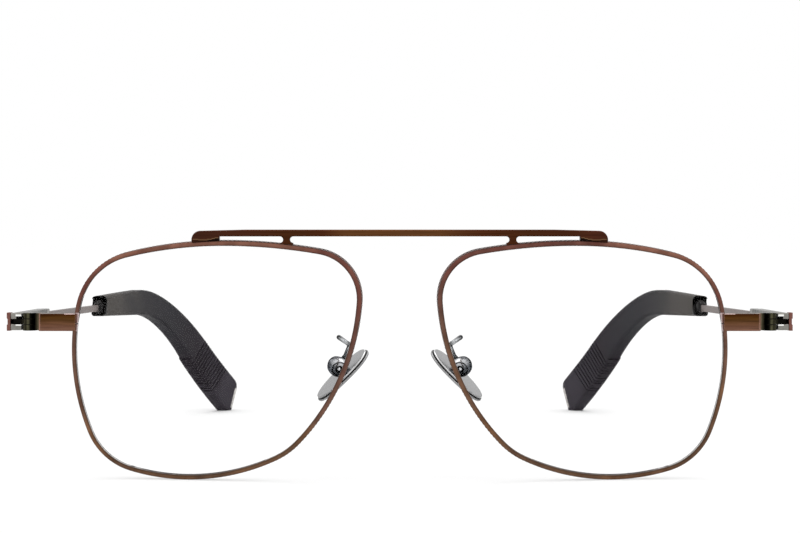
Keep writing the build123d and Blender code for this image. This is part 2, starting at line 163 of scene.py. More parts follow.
def stretch(tree, value, low, high, start, stop):
    """A value's range from low to high, mapped to start and stop."""
    node = add(tree, "ShaderNodeMapRange", Value=value)
    limits = {"From Min": low, "From Max": high, "To Min": start, "To Max": stop}
    for name, limit in limits.items():
        node.inputs[name].default_value = limit
    return node.outputs["Result"]


def spread(tree, value, start, stop):
    """A noise value mapped to start and stop."""
    return stretch(tree, value, noise_low, noise_high, start, stop)


print("helpers ready")

# %% [markdown]
# ## Worn metal
# The rims, the bar and the end pieces are plated, then brushed and stained by hand. So the
# colour wanders over centimetres, fine scratches run one way, and the gloss changes with them.
# One function makes all such metals. Broad noise picks from a ramp of colours, or shifts a ramp
# that runs along one axis of the object. Streaked noise mottles the colour, changes the gloss
# and gives a faint relief. Two attributes, which a piece may carry on its points, paint shade
# into its corners and grooves, and paint highlights on its edges and inner wall. A piece without
# them reads zero. Patches are last: boxes in the object's own space that hold one colour,
# mostly painted highlights such as a glint on one edge, some painted shade, and one dark seam.

# %% Metal material
relief_depth = 0.05


def metal(
    name, colours, rough=(0.3, 0.45), broad=(60, 60, 60), streak=(1500, 1500, 1500), relief=0.1,
    along=None, wander=0.35, mottle=0.15, shade_paint=(26, 22, 18), bare=(168, 162, 158), painted_light_and_seams=(),
):
    """Metal with a worn colour. along is (axis, low, high) in mm, where the colours run that way.

    Patches hold painted highlights, painted shade and one dark seam. A patch is (colour, X limits,
    Y limits, Z limits), in mm, with X counted from the middle plane.
    """
    material, tree, shader = new_material(name)
    coords = add(tree, "ShaderNodeTexCoord").outputs["Object"]
    share = spread(tree, noise(tree, coords, broad), 0, 1)
    parts = add(tree, "ShaderNodeSeparateXYZ", Vector=coords)
    if along:
        axis, low, high = along
        distance = work_out(tree, "ABSOLUTE", parts.outputs[axis])
        place = stretch(tree, distance, low * mm, high * mm, 0, 1)
        drift = work_out(tree, "MULTIPLY_ADD", share, wander, -wander / 2)
        share = work_out(tree, "ADD", place, drift)
    stops = [(i / (len(colours) - 1), colour) for i, colour in enumerate(colours)]
    tint = ramp(tree, share, stops)
    lines = noise(tree, coords, streak, 3.0)
    specks = spread(tree, lines, 1 - mottle, 1 + mottle)
    tint = blend(tree, 1.0, tint, specks)
    tint.node.blend_type = "MULTIPLY"
    # Painted shade in corners and grooves, then painted highlights on edges and inner walls.
    for attribute, layer in (("dark", shade_paint), ("pale", bare)):
        read = tree.nodes.new("ShaderNodeAttribute")
        read.attribute_name = attribute
        tint = blend(tree, read.outputs["Fac"], tint, paint(*layer))
    # Patches: painted highlights, painted shade and one dark seam.
    for colour, *limits in painted_light_and_seams:
        inside = 1.0
        for axis, (low, high) in zip("XYZ", limits):
            place = parts.outputs[axis]
            if axis == "X":
                place = work_out(tree, "ABSOLUTE", place)
            middle, half = (low + high) / 2 * mm, (high - low) / 2 * mm
            close = work_out(tree, "COMPARE", place, middle, half)
            inside = work_out(tree, "MULTIPLY", inside, close)
        tint = blend(tree, inside, tint, paint(*colour))
    feed(tree, tint, shader.inputs["Base Color"])
    feed(tree, spread(tree, lines, *rough), shader.inputs["Roughness"])
    bump = add(tree, "ShaderNodeBump", Strength=relief, Distance=relief_depth * mm, Height=lines)
    feed(tree, bump.outputs["Normal"], shader.inputs["Normal"])
    shader.inputs["Metallic"].default_value = 1.0
    return material


print("metal can be mixed")

# %% [markdown]
# Now each metal gets its colours, as display bytes, and its own wear. The rims run from olive
# brown at the table to copper at the top, with streaks of both. The bar is dark brown, and
# darkest at its feet; its lighter, more golden middle is a painted reflection. The patches are
# painted light: thin painted highlights where fine bevels and bent faces catch the light on the
# real piece, such as a light line on each foot of the bar, bright edges round the end pieces and
# a light band on the inner wall of each rim beside them, and painted shade under the end of the
# bar.

# %% Metals of the front
front_to_back = (-72, 70)
# The light line on each foot of the bar, a painted highlight, drawn in steps.
foot_highlight = [
    ((36.6, 37.6), (44.50, 44.62)), ((35.0, 36.6), (44.40, 44.52)), ((34.2, 35.0), (44.50, 44.64)),
    ((33.6, 34.2), (44.64, 44.78)), ((33.0, 33.6), (44.78, 44.90)),
]
finishes = {
    "rim_copper": metal(
        "rim_copper",
        [(98, 74, 58), (120, 87, 64), (112, 84, 68), (106, 76, 66), (110, 68, 60), (128, 88, 74)],
        along=("Z", 1, 45), wander=0.5, streak=(420, 420, 420), mottle=0.28, shade_paint=(48, 34, 28),
        # A painted highlight: the light band on the inner wall beside the end piece.
        relief=0.2, painted_light_and_seams=[((194, 174, 174), (59.1, 59.8), (-72, -66.1), (27.6, 31.0))],
    ),
    "brow_bar_brown": metal(
        # Its lighter, more golden middle is a painted reflection.
        "brow_bar_brown", [(94, 59, 33), (76, 40, 22), (67, 36, 19), (72, 38, 25), (62, 35, 25)],
        along=("X", 3, 38), streak=(120, 1500, 3500), mottle=0.25,
        # Painted shade under the end of the bar, then the painted highlight on each foot.
        painted_light_and_seams=[
            ((52, 30, 22), (34.6, 37.8), front_to_back, (43.8, 44.45)),
            ((24, 15, 12), (32.2, 34.8), front_to_back, (43.8, 44.5)),
            ((24, 15, 12), (32.2, 34.0), front_to_back, (44.4, 44.76)),
            *[((118, 90, 64), across, front_to_back, heights) for across, heights in foot_highlight],
        ],
    ),
    "end_piece_brown": metal(
        "end_piece_brown",
        [(120, 86, 70), (104, 72, 56), (108, 74, 52), (82, 54, 30), (84, 54, 24), (66, 36, 14),
         (62, 36, 18)],
        along=("Z", 27.8, 31.0), wander=0.16, streak=(160, 2500, 7000), mottle=0.4,
        # Painted highlights: a bevel line, the top edge and the edge beside the rim.
        painted_light_and_seams=[
            ((176, 132, 114), (66.34, 66.46), front_to_back, (27.8, 31)),
            ((190, 164, 160), (59.8, 61.8), (-68, -66.9), (30.73, 30.9)),
            ((120, 84, 60), (59.7, 59.83), front_to_back, (27, 31)),
        ],
    ),
}
print("front:", ", ".join(finishes))

# %% [markdown]
# The hinge is nearly black, with olive bands of painted highlight where its leaves turn to the
# light, and a black band of painted shade in the recess beside its barrel. The temple block is
# silver. Its white and black marks are painted reflections, where the bracket of the hinge turns
# over in its slot, and one dark line is a seam.

# %% Metals of the hinges and temples
temple_metals = {
    "cover_brown": metal("cover_brown", [(96, 62, 54), (122, 84, 76), (104, 64, 54)], mottle=0.2),
    # Along X: painted highlights in olive, painted shade in black.
    "hinge_dark": metal(
        "hinge_dark",
        [(120, 104, 84), (58, 54, 40), (8, 7, 7), (6, 6, 6), (14, 13, 10), (84, 82, 62),
         (30, 29, 20), (62, 60, 44), (22, 21, 16), (14, 13, 11)],
        along=("X", 66.9, 70.6), wander=0.05, rough=(0.25, 0.35), shade_paint=(12, 11, 9),
    ),
    "screw_steel": metal("screw_steel", [(96, 94, 88), (130, 128, 122)], rough=(0.2, 0.3)),
    "washer_dark": metal("washer_dark", [(26, 24, 20), (40, 38, 30)], rough=(0.25, 0.4)),
    "block_silver": metal(
        "block_silver",
        [(104, 102, 98), (112, 110, 106), (120, 118, 113), (126, 124, 118), (134, 132, 126)],
        along=("Y", 55, 64), wander=0.2, rough=(0.25, 0.4),
        # Painted reflections in white and black at the slot; the last patch is a dark seam.
        painted_light_and_seams=[
            ((250, 250, 246), (70.2, 71.4), (-65, -63.4), (30.25, 30.6)),
            ((10, 10, 9), (70.2, 71.3), (-65, -63.4), (29.7, 30.25)),
            ((250, 250, 246), (70.3, 71.4), (-65, -63.4), (28.5, 28.84)),
            ((66, 64, 60), (60, 80), (-59.3, -59.0), (28, 34)),
        ],
    ),
    "ferrule_silver": metal(
        "ferrule_silver", [(116, 114, 110), (132, 130, 126)], rough=(0.25, 0.4),
    ),
    "wire_taupe": metal("wire_taupe", [(112, 102, 99), (126, 116, 113)], rough=(0.3, 0.45)),
    "tip_silver": metal("tip_silver", [(176, 172, 170), (206, 203, 200)], rough=(0.2, 0.35)),
}
finishes.update(temple_metals)
print("hinges and temples:", ", ".join(temple_metals))

# %% [markdown]
# Round the nose all is plated and smoother, so it has hardly any relief. The painted shade of
# these metals is near black, for the neck of the pad and the recess of its box. The stem between
# box and pad is painted black, as the shade that falls there.

# %% Metals of the nose pads
pad_metals = {
    "pad_metal": metal(
        "pad_metal",
        [(66, 68, 70), (92, 94, 96), (176, 178, 180), (196, 198, 200), (206, 208, 210)],
        along=("Z", 22.5, 26.5), rough=(0.12, 0.25), relief=0.03, shade_paint=(30, 31, 32),
    ),
    # The stem is painted black: painted shade between the box and the pad.
    "stem_black": metal("stem_black", [(10, 10, 11), (26, 26, 28)], rough=(0.2, 0.35)),
    "pad_cup": metal(
        "pad_cup", [(30, 32, 36), (66, 69, 74), (98, 101, 106)], rough=(0.15, 0.25),
        broad=(600, 600, 600), streak=(400, 400, 400), relief=0.02, shade_paint=(8, 9, 11),
        bare=(244, 245, 248),
    ),
    "pad_silver": metal(
        "pad_silver", [(146, 146, 147), (160, 160, 161)], rough=(0.22, 0.3), relief=0.02,
        mottle=0.04, streak=(300, 300, 300), shade_paint=(10, 10, 11), bare=(246, 246, 246),
    ),
}
finishes.update(pad_metals)
print("nose pads:", ", ".join(pad_metals))

# %% [markdown]
# ## Soft black plastic and clear lens
# The ear sleeves are matte acetate with a faint fine grain. They are brownest at the mouth and
# darkest at the bend, and have hardly any shine, even where the light grazes them, so their
# specular level is near nothing. The collar at their mouth is black and smoother.

# %% Plastic materials
sleeve_front, sleeve_back = -1, 68
cloud_scale = (160, 160, 160)
cloud_drift = 0.06


def plastic(name, colours, rough, specular, grain=2500, relief=0.02):
    """Dielectric whose colours run from the front to the back of the temple, with a fine grain."""
    material, tree, shader = new_material(name)
    coords = add(tree, "ShaderNodeTexCoord").outputs["Object"]
    parts = add(tree, "ShaderNodeSeparateXYZ", Vector=coords)
    place = stretch(tree, parts.outputs["Y"], sleeve_front * mm, sleeve_back * mm, 0, 1)
    drift = spread(tree, noise(tree, coords, cloud_scale), -cloud_drift, cloud_drift)
    stops = [(i / (len(colours) - 1), colour) for i, colour in enumerate(colours)]
    tint = ramp(tree, work_out(tree, "ADD", place, drift), stops)
    feed(tree, tint, shader.inputs["Base Color"])
    fine = noise(tree, coords, (grain, grain, grain), 3.0)
    feed(tree, spread(tree, fine, *rough), shader.inputs["Roughness"])
    bump = add(tree, "ShaderNodeBump", Strength=relief, Distance=relief_depth * mm, Height=fine)
    feed(tree, bump.outputs["Normal"], shader.inputs["Normal"])
    shader.inputs["Specular IOR Level"].default_value = specular
    return material


finishes["sleeve_charcoal"] = plastic(
    "sleeve_charcoal",
    [(62, 58, 54), (64, 60, 57), (40, 38, 40), (30, 28, 33), (34, 33, 38), (36, 31, 37),
     (52, 48, 55)],
    (0.45, 0.6), 0.08,
)
# The ribs are darker than the sleeve: painted shade, as of fine grooves.
finishes["rib_black"] = plastic("rib_black", [(38, 34, 39), (28, 25, 29)], (0.5, 0.6), 0.0)
finishes["collar_black"] = plastic(
    "collar_black", [(16, 14, 14), (12, 10, 10)], (0.3, 0.36), 0.1, relief=0.0,
)
print("plastics: sleeve_charcoal, rib_black, collar_black")

# %% [markdown]
# The lens is clear and coated, so it mirrors very little. It bends what is seen through it, but
# casts no shadow: light paths through glass to the table would take many more samples.

# %% Lens material
lens_material, lens_tree, lens_shader = new_material("clear_lens")
lens_shader.inputs["Base Color"].default_value = (1, 1, 1, 1)
lens_shader.inputs["Roughness"].default_value = 0.02
lens_shader.inputs["IOR"].default_value = 1.5
lens_shader.inputs["Specular Tint"].default_value = (0.06, 0.06, 0.06, 1)
lens_shader.inputs["Transmission Weight"].default_value = 1.0
shadow_free = add(lens_tree, "ShaderNodeBsdfTransparent")
rays = add(lens_tree, "ShaderNodeLightPath")
chooser = add(lens_tree, "ShaderNodeMixShader", Fac=rays.outputs["Is Shadow Ray"])
feed(lens_tree, lens_shader.outputs[0], chooser.inputs[1])
feed(lens_tree, shadow_free.outputs[0], chooser.inputs[2])
feed(lens_tree, chooser.outputs[0], lens_tree.nodes["Material Output"].inputs["Surface"])
finishes["clear_lens"] = lens_material
print("finishes:", len(finishes))

# %% [markdown]
# ## Dressing the CAD nodes
# Every CAD node takes the finish of its kind. The node keeps its exact mesh, and only its
# material changes. Pieces that get finer forms below replace their node.

# %% Give each CAD node its finish
finish_of = {
    "brow_bar": "brow_bar_brown",
    "rim": "rim_copper",
    "lens": "clear_lens",
    "end_piece": "end_piece_brown",
    "rim_lock": "rim_copper",
    "rim_lock_screw": "screw_steel",
    "hinge_clevis": "hinge_dark",
    "hinge_screw": "screw_steel",
    "hinge_washers": "washer_dark",
    "hinge_tongue": "hinge_dark",
    "temple_block": "block_silver",
    "temple_ferrule": "ferrule_silver",
    "temple_cover": "cover_brown",
    "temple_wire": "wire_taupe",
    "sleeve_collar": "collar_black",
    "temple_sleeve": "sleeve_charcoal",
    "tip_plate": "tip_silver",
    "pad_arm": "pad_metal",
    "pad_screw": "screw_steel",
    "pad_stem": "stem_black",
    "nose_pad": "pad_silver",
}
bodies = frame["record"]["behaviour"]["bodies"]
body_of_node = {node: body for body, nodes in bodies.items() for node in nodes}
for node_name, node in frame["nodes"].items():
    kind = node_name.removeprefix("left_").removeprefix("right_")
    node.data.materials.clear()
    node.data.materials.append(finishes[finish_of[kind]])
print("dressed", len(frame["nodes"]), "nodes")

# %% [markdown]
# ## Helpers for pieces
# A rule for a shape is a Geometry Nodes tree. It is made here with named inputs for its sizes.
# The other helpers draw a mesh, shade it, and turn all its faces outwards.

# %% Helpers for trees and meshes
def new_tree(name, sizes):
    """A geometry tree with named size inputs: the tree, its input node and its output node."""
    tree = bpy.data.node_groups.new(name, "GeometryNodeTree")
    tree.interface.new_socket("Geometry", in_out="INPUT", socket_type="NodeSocketGeometry")
    tree.interface.new_socket("Geometry", in_out="OUTPUT", socket_type="NodeSocketGeometry")
    for size, kind in sizes.items():
        tree.interface.new_socket(size, in_out="INPUT", socket_type="NodeSocket" + kind)
    return tree, tree.nodes.new("NodeGroupInput"), tree.nodes.new("NodeGroupOutput")


def link_mesh(name, mesh):
    """An object that holds a mesh, in the scene."""
    piece = bpy.data.objects.new(name, mesh)
    bpy.context.scene.collection.objects.link(piece)
    return piece


def drawn_mesh(name, points, edges=(), faces=()):
    """A mesh from lists of points, edges and faces."""
    mesh = bpy.data.meshes.new(name)
    mesh.from_pydata([tuple(point) for point in points], list(edges), list(faces))
    return mesh


def shade(mesh, sharp=35):
    """Smooth shading, with edges kept crisp where faces turn by more than an angle."""
    mesh.polygons.foreach_set("use_smooth", [True] * len(mesh.polygons))
    mesh.set_sharp_from_angle(angle=math.radians(sharp))
    mesh.update()


def evaluated_mesh(piece, name):
    """A plain mesh of what an object's modifiers make."""
    bpy.context.view_layer.update()
    seen = piece.evaluated_get(bpy.context.evaluated_depsgraph_get())
    mesh = bpy.data.meshes.new_from_object(seen)
    mesh.name = name
    return mesh


def turn_outwards(mesh):
    """Recalculates the faces so that they point out of the closed shells of a mesh."""
    shells = bmesh.new()
    shells.from_mesh(mesh)
    bmesh.ops.recalc_face_normals(shells, faces=shells.faces)
    shells.to_mesh(mesh)
    shells.free()


print("mesh helpers ready")

# %% [markdown]
# `grow` runs a tree on a mesh, turns the result into a plain mesh and drops the tree, so that
# what remains is exact and light. Each shape is drawn for the wearer's left side, at +X, and
# `mirrored` gives the right one. `settle` ties a piece to the CAD model: to the body that it
# rides on and, mostly, the node that it replaces.

# %% Helpers that make pieces
def grow(name, start_mesh, tree, sizes):
    """Runs a geometry tree on a mesh and keeps the result as a plain mesh."""
    piece = link_mesh(name, start_mesh)
    modifier = piece.modifiers.new(tree.name, "NODES")
    modifier.node_group = tree
    for item in tree.interface.items_tree:
        if item.in_out == "INPUT" and item.name in sizes:
            modifier[item.identifier] = sizes[item.name]
    mesh = evaluated_mesh(piece, name)
    piece.modifiers.clear()
    piece.data = mesh
    turn_outwards(mesh)
    shade(mesh)
    return piece


def mirrored(piece, name):
    """The same piece for the other side of the face."""
    mesh = piece.data.copy()
    mesh.name = name
    mesh.transform(Matrix.Scale(-1, 4, (1, 0, 0)))
    mesh.flip_normals()
    return link_mesh(name, mesh)


def settle(piece, node_name, replace=True):
    """Lets a piece ride with a CAD node's body, and stand for it."""
    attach(piece, body_of_node[node_name])
    if replace:
        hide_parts(node_name)


def settle_pair(left_piece, kind, replace=True):
    """Mirrors a left piece, and settles both on the nodes of their sides."""
    right_piece = mirrored(left_piece, left_piece.name.replace("left_", "right_"))
    for piece, side in ((left_piece, "left_"), (right_piece, "right_")):
        settle(piece, side + kind, replace)
        print(piece.name, "faces", len(piece.data.polygons))


print("piece helpers ready")

# %% [markdown]
# ## The rims: a profile led along an outline
# Each rim is one grooved wire, bent round the lens and closed at a slit behind the end piece.
# It could be cut from a block, but Curve to Mesh, which leads a profile along an outline, keeps
# the wire's width everywhere, as drawing dies do with real wire. The outline is nine arcs that
# meet without a corner, each a turn in degrees and a radius as a share of the rim's width. Two
# radii are left open, and worked out so that the loop closes.

# %% Outline of a rim
rim_width = 53.94
rim_arcs = [
    (14.2, 1.376), (63.4, 0.244), (32.2, 0.795), (55.0, 0.214), (40.4, None),
    (20.7, 0.266), (39.7, None), (83.6, 0.174), (10.8, 1.744),
]
rim_depth = 2.0
lens_curve = 130.0
wrap, tilt = math.radians(4.5), math.radians(6)
face_turn = Matrix.Rotation(wrap, 4, "Z") @ Matrix.Rotation(tilt, 4, "X")


def rim_outline(step=0.45):
    """Points of the outline, clockwise from its top as seen from the front, about its middle."""
    turns = np.radians([turn for turn, share in rim_arcs])
    headings = -np.concatenate([[0], np.cumsum(turns)])
    left = np.stack([-np.sin(headings), np.cos(headings)], 1)
    radii = np.array([0 if share is None else share * rim_width for turn, share in rim_arcs])
    unknown = [place for place, (turn, share) in enumerate(rim_arcs) if share is None]
    moves = left[1:] - left[:-1]
    radii[unknown] = np.linalg.solve(moves[unknown].T, -(moves * radii[:, None]).sum(0))
    spot, points = np.zeros(2), []
    for place, (turn, radius) in enumerate(zip(turns, radii)):
        centre = spot - left[place] * radius
        count = math.ceil(turn * radius / step)
        for angle in headings[place] - turn * np.arange(count) / count:
            points.append(centre + radius * np.array([-math.sin(angle), math.cos(angle)]))
        spot = centre + left[place + 1] * radius
    points = np.array(points)
    return points - (points.max(0) + points.min(0)) / 2


def on_face(points, depth):
    """Outline points, bent to the lens curve at a depth and turned to the face."""
    across, up = points.T
    sag = lens_curve - np.sqrt((lens_curve - depth) ** 2 - across**2 - up**2)
    return np.stack([across, sag, up], 1) @ np.array(face_turn.to_3x3()).T


print("arcs", len(rim_arcs), "turn", round(sum(turn for turn, share in rim_arcs), 1), "degrees")

# %% [markdown]
# The CAD rim gives the outline its place. The loop is then opened at the height of the hinge,
# where the two ends of a real rim meet at a lock.

# %% Outline at its place, open at the slit
hinge_height = 29.25
slit = 0.2
outline = rim_outline()
both_faces = np.vstack([on_face(outline, -rim_depth / 2), on_face(outline, rim_depth / 2)])
face_move = np.array(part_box("left_rim")[0]) / mm - both_faces.min(0)
height = on_face(outline, 0)[:, 2] + face_move[2]
outline = outline[(outline[:, 0] < 0) | (abs(height - hinge_height) > slit)]
height = on_face(outline, 0)[:, 2] + face_move[2]
first = next(k for k in range(len(outline)) if outline[k, 0] > 0 and height[k] < hinge_height)
above, below = outline[first - 1], outline[first]
fall = height[first - 1] - height[first]
cuts = []
for level in (hinge_height - slit / 2, hinge_height + slit / 2):
    cuts.append(above + (below - above) * (height[first - 1] - level) / fall)
outline = np.vstack([cuts[0], outline[first:], outline[:first], cuts[1]])
print("outline points", len(outline), "size", (outline.max(0) - outline.min(0)).round(2))

# %% [markdown]
# The profile has a flat front face with small bevels, a groove for the lens and a milled strip
# outside. It is a short list of corners: how far in from the outline, how deep from the middle
# of the wire, and how much painted shade and painted highlight the finish shows there: shade
# along the edges and in the grooves, highlight on the inner wall. Between the front lip and the
# back lip runs the strip that carries the teeth.

# %% Profile of the wire
profile = [
    (0.95, -0.90, 0.7, 0.3), (0.86, -0.98, 0.6, 0.0), (0.62, -1.00, 0.1, 0.0),
    (0.22, -1.00, 0.0, 0.0), (0.12, -0.98, 0.3, 0.0), (0.07, -0.90, 0.5, 0.0),
    (0.07, -0.76, 0.4, 0.0), (0.16, -0.70, 0.9, 0.0), (0.16, 0.70, 0.9, 0.0),
    (0.07, 0.76, 0.4, 0.0), (0.07, 0.93, 0.4, 0.0), (0.14, 1.00, 0.3, 0.0),
    (0.88, 1.00, 0.3, 0.0), (0.95, 0.93, 0.3, 0.6), (0.95, 0.47, 0.0, 1.0),
    (0.55, 0.45, 0.0, 0.5), (0.55, -0.45, 0.0, 0.5), (0.95, -0.47, 0.0, 1.0),
]
corners = [(inset * mm, -depth * mm, 0) for inset, depth, dark, pale in profile]
loop = [(k, (k + 1) % len(profile)) for k in range(len(profile))]
profile_object = link_mesh("wire_profile", drawn_mesh("wire_profile", corners, loop))
# The last two columns: painted shade and painted highlight.
for place, attribute in ((2, "dark"), (3, "pale")):
    layer = profile_object.data.attributes.new(attribute, "FLOAT", "POINT")
    layer.data.foreach_set("value", [corner[place] for corner in profile])
print("profile corners", len(profile))

# %% [markdown]
# The tree has two branches. One leads the profile along the outline. The other sets a small
# rounded tooth at even steps, turned with the outline's direction, with some painted shade on
# each. Both are then bent to the curve of the lens by one formula for a ball's surface, so that
# wire and teeth stay together.

# %% Tree that draws a rim
# Painted shade on each tooth, so the row reads as dark serration.
tooth_shade = 0.4


def rim_tree():
    """A tree that leads the profile and a row of teeth along an outline, and bends both."""
    tree, start, end = new_tree("rim_wire", {
        "Profile": "Object", "Lens curve": "Float", "Tooth pitch": "Float",
        "Tooth width": "Float", "Tooth height": "Float", "Tooth length": "Float",
    })
    size = start.outputs
    path = add(tree, "GeometryNodeMeshToCurve", Mesh=size["Geometry"]).outputs[0]
    section = add(tree, "GeometryNodeObjectInfo", Object=size["Profile"]).outputs["Geometry"]
    section = add(tree, "GeometryNodeMeshToCurve", Mesh=section).outputs[0]
    wire = add(tree, "GeometryNodeCurveToMesh", Curve=path, Profile_Curve=section, Fill_Caps=True)

    pitch = size["Tooth pitch"]
    rows = add(tree, "GeometryNodeResampleCurve", {"mode": "LENGTH"}, Curve=path, Length=pitch)
    half, high = work_out(tree, "MULTIPLY", size["Tooth width"], 0.5), size["Tooth height"]
    tooth = add(
        tree, "GeometryNodeMeshCylinder", Vertices=10, Radius=half, Depth=size["Tooth length"],
    )
    inward = add(tree, "ShaderNodeCombineXYZ", Y=work_out(tree, "MULTIPLY", high, -1.0))
    squash = add(tree, "ShaderNodeCombineXYZ", X=1.0, Y=work_out(tree, "DIVIDE", high, half), Z=1.0)
    tooth = add(
        tree, "GeometryNodeTransform", Geometry=tooth.outputs["Mesh"],
        Translation=inward.outputs[0], Scale=squash.outputs[0],
    )
    marked = add(
        tree, "GeometryNodeStoreNamedAttribute", Geometry=tooth.outputs[0], Name="dark",
        Value=tooth_shade,
    )
    ahead = tree.nodes.new("GeometryNodeInputTangent").outputs[0]
    turn = add(
        tree, "FunctionNodeAlignRotationToVector", {"axis": "X", "pivot_axis": "Z"}, Vector=ahead,
    )
    teeth = add(
        tree, "GeometryNodeInstanceOnPoints", Points=rows.outputs[0], Instance=marked.outputs[0],
        Rotation=turn.outputs[0],
    )

    both = tree.nodes.new("GeometryNodeJoinGeometry")
    feed(tree, wire.outputs[0], both.inputs[0])
    feed(tree, teeth.outputs[0], both.inputs[0])
    real = add(tree, "GeometryNodeRealizeInstances", Geometry=both.outputs[0]).outputs[0]
    spot = tree.nodes.new("GeometryNodeInputPosition").outputs[0]
    across, up, depth = add(tree, "ShaderNodeSeparateXYZ", Vector=spot).outputs
    ball = work_out(tree, "POWER", work_out(tree, "SUBTRACT", size["Lens curve"], depth), 2.0)
    for part in (across, up):
        ball = work_out(tree, "SUBTRACT", ball, work_out(tree, "POWER", part, 2.0))
    sag = work_out(tree, "SUBTRACT", size["Lens curve"], work_out(tree, "SQRT", ball))
    bent = add(tree, "ShaderNodeCombineXYZ", X=across, Y=sag, Z=up)
    placed = add(tree, "GeometryNodeSetPosition", Geometry=real, Position=bent.outputs[0])
    copper = finishes["rim_copper"]
    done = add(tree, "GeometryNodeSetMaterial", Geometry=placed.outputs[0], Material=copper)
    feed(tree, done.outputs[0], end.inputs[0])
    return tree


rim_rule = rim_tree()
print("rim tree nodes", len(rim_rule.nodes))

# %% [markdown]
# The tree runs once, for the left rim, with the sizes of the teeth. The result is turned to the
# wrap and tilt of the face and moved to its place, and the right rim is its mirror image.

# %% Left and right rim
path_points = [(across * mm, up * mm, 0) for across, up in outline]
path_mesh = drawn_mesh("rim_path", path_points, [(k, k + 1) for k in range(len(outline) - 1)])
left_rim = grow("left_rim_wire", path_mesh, rim_rule, {
    "Profile": profile_object, "Lens curve": lens_curve * mm, "Tooth pitch": 0.78 * mm,
    "Tooth width": 0.54 * mm, "Tooth height": 0.18 * mm, "Tooth length": 1.4 * mm,
})
left_rim.data.transform(Matrix.Translation(Vector(face_move) * mm) @ face_turn)
bpy.data.objects.remove(profile_object)
settle_pair(left_rim, "rim")

# %% [markdown]
# ## Solid blocks with worn edges
# The end pieces, hinges, blocks and covers are milled metal. No real edge is perfectly sharp:
# it has a small round that catches a line of light. A CAD node arrives as loose triangles, so
# a copy is merged and its flat faces are joined first.

# %% Clean copies of CAD nodes
merge_distance = 0.0005
flat_angle = math.radians(0.6)


def clean_copy(node_name):
    """A CAD node's shape as a mesh of whole faces."""
    mesh = frame["nodes"][node_name].data.copy()
    faces = bmesh.new()
    faces.from_mesh(mesh)
    bmesh.ops.remove_doubles(faces, verts=faces.verts, dist=merge_distance * mm)
    bmesh.ops.dissolve_limit(faces, angle_limit=flat_angle, verts=faces.verts, edges=faces.edges)
    faces.to_mesh(mesh)
    faces.free()
    return mesh


print("points merge within", merge_distance, "mm")

# %% [markdown]
# Four pieces also change their form a little, to meet the picture. The ferrule is shorter than
# its solid, and the wire in it is longer by as much. The collar leans back at its top, as its
# slanted mouth does, and the plate in the tip shows at both flats of the sleeve. Each change
# takes the points of a copy, in metres, and moves some of them.

# %% Small changes of form
ferrule_cut = 3.0
wire_start = 1.0
collar_slant = 2.6
plate_spread = 0.34
plate_depth = 0.9
temple_turn, tip_turn = math.radians(5), math.radians(16)


def back_along(points, distance):
    """A step along the straight front of a temple, which closes in towards the back."""
    side = np.sign(points[:, 0].mean())
    return np.array([-side * math.sin(temple_turn), math.cos(temple_turn), 0]) * distance * mm


def shorter_ferrule(points):
    """Brings the back end of a ferrule forward."""
    middle = (points.min(0) + points.max(0)) / 2
    points[points[:, 1] > middle[1]] += back_along(points, -ferrule_cut)
    return points


def longer_wire(points):
    """Brings the front end of a temple wire forward, to stay in the ferrule."""
    front = points[:, 1] < points[:, 1].min() + wire_start * mm
    points[front] += back_along(points, -ferrule_cut)
    return points


def slanted_collar(points):
    """Leans the front of a collar back at its top."""
    low, high = points.min(0), points.max(0)
    front = points[:, 1] < (low[1] + high[1]) / 2
    share = (points[front, 2] - low[2]) / (high[2] - low[2])
    points[front] += np.outer(share, back_along(points, collar_slant))
    return points


def wider_plate(points):
    """Lets a tip plate show at both flats of its sleeve, and go a little deeper."""
    middle = (points.min(0) + points.max(0)) / 2
    side = np.sign(middle[0])
    across = np.array([side * math.cos(tip_turn), math.sin(tip_turn), 0])
    spots = (points - middle) @ across
    points += np.outer(spots / abs(spots).max() * plate_spread * mm, across)
    thin = np.linalg.svd(points - points.mean(0))[2][2]
    thin *= np.sign(thin[1])
    points[(points - middle) @ thin < 0] -= thin * plate_depth * mm
    return points


reshapes = {
    "temple_ferrule": shorter_ferrule, "temple_wire": longer_wire,
    "sleeve_collar": slanted_collar, "tip_plate": wider_plate,
}
print("changed forms:", ", ".join(reshapes))

# %% [markdown]
# A Bevel modifier now rounds each sharp edge. A bevel in the material would be cheaper, but
# only a real one shows in the outline. The result is a plain mesh that stands for the node.

# %% Rounded edges
edge_widths = {
    "end_piece": 0.12, "rim_lock": 0.1, "hinge_clevis": 0.12, "hinge_tongue": 0.06,
    "temple_block": 0.16, "temple_ferrule": 0.16, "temple_cover": 0.1, "temple_wire": 0.18,
    "sleeve_collar": 0.12, "tip_plate": 0.06,
}
edge_angle = math.radians(32)


def worn_edges(node_name, width, reshape=None):
    """A CAD node again, after a change of its points, with each of its edges rounded."""
    copy = clean_copy(node_name)
    if reshape:
        points = reshape(np.array([vert.co for vert in copy.vertices]))
        copy.vertices.foreach_set("co", points.ravel())
    piece = link_mesh(node_name + "_worn", copy)
    bevel = piece.modifiers.new("worn", "BEVEL")
    bevel.width = width * mm
    bevel.segments = 2
    bevel.limit_method = "ANGLE"
    bevel.angle_limit = edge_angle
    mesh = evaluated_mesh(piece, piece.name)
    piece.modifiers.clear()
    piece.data = mesh
    shade(mesh, sharp=50)
    settle(piece, node_name)
    return piece


for kind, width in edge_widths.items():
    for side in ("left_", "right_"):
        piece = worn_edges(side + kind, width, reshapes.get(kind))
    print(kind, "faces", len(piece.data.polygons))

# %% [markdown]
# The pad arm is round wire. Seen from the front it has a bright core and dark flanks, so its
# copy has painted shade where its surface turns away from the front.

